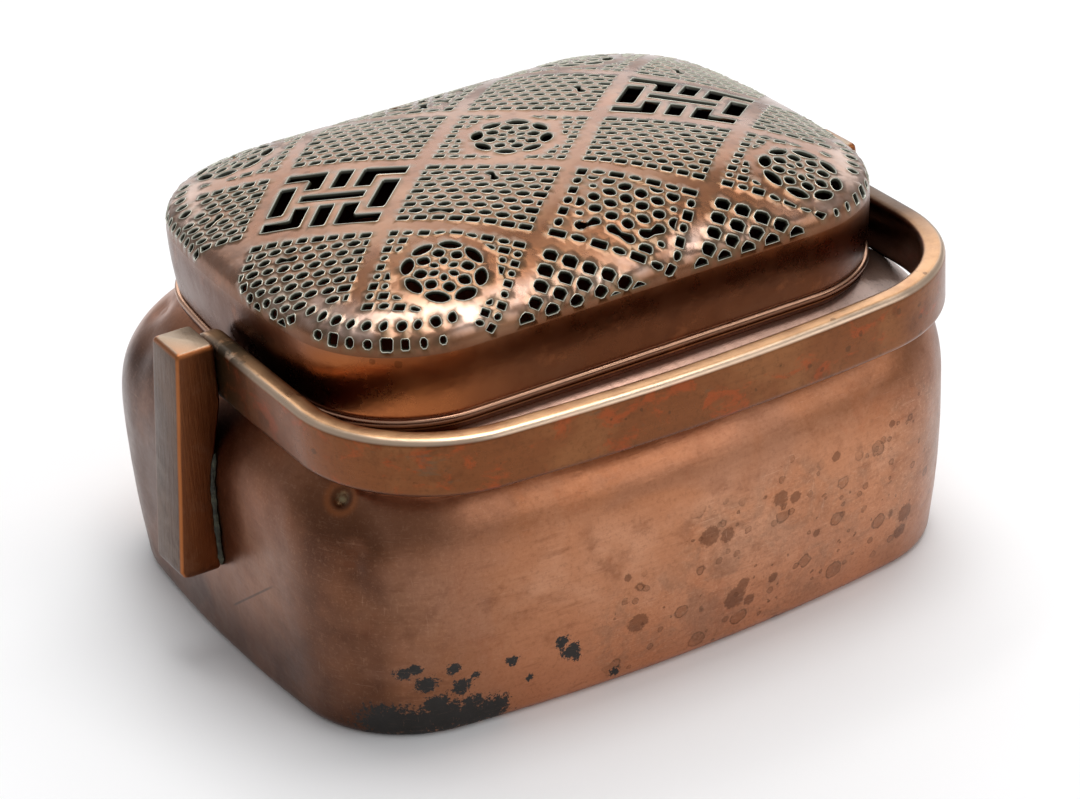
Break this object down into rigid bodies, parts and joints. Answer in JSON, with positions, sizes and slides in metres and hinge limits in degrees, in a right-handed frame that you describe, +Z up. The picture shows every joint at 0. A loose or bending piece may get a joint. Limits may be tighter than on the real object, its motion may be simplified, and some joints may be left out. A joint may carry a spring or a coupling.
{
  "type": "hand warmer",
  "caption": "Rectangular copper charcoal hand warmer with a domed pierced lid and a flat strap bail that swings on tall block lugs.",
  "frame": {"origin": "centre of the flat base, on the ground", "axes": "+X along the long side between the lugs, -Y the front long side over which the bail is folded, +Z up"},
  "size_m": [0.179, 0.143, 0.0967],
  "materials": {
    "body_copper": "hammered copper, satin, worn brown patina",
    "base_copper": "dull brown copper",
    "neck_copper": "satin copper",
    "lug_bronze": "brushed brown bronze with brighter edges",
    "rivet_copper": "hammered copper",
    "solder_grey": "dull grey-green soft solder",
    "pin_bronze": "satin bronze",
    "handle_bronze": "rubbed bronze with blotched patina",
    "lid_copper": "polished dark brown copper",
    "openwork_copper": "worn copper with pale verdigris round the holes"
  },
  "bodies": {
    "vessel": {"body_shell": "body_copper", "base_plate": "base_copper", "neck_band": "neck_copper", "lug_left": "lug_bronze", "lug_right": "lug_bronze", "lug_rivets_left": "rivet_copper", "lug_rivets_right": "rivet_copper", "solder_left": "solder_grey", "solder_right": "solder_grey", "pivot_pin_left": "pin_bronze", "pivot_pin_right": "pin_bronze"},
    "bail": {"handle": "handle_bronze"},
    "lid": {"lid_band": "lid_copper", "lid_top": "openwork_copper"}
  },
  "joints": [
    {"name": "bail_swing", "type": "hinge", "parent": "vessel", "child": "bail", "pos_m": [0, 0, 0.06641], "axis": [-1, 0, 0], "range_deg": [0, 180]},
    {"name": "lid_lift", "type": "slide", "parent": "vessel", "child": "lid", "axis": [0, 0, 1], "range_m": [0, 0.025]}
  ]
}
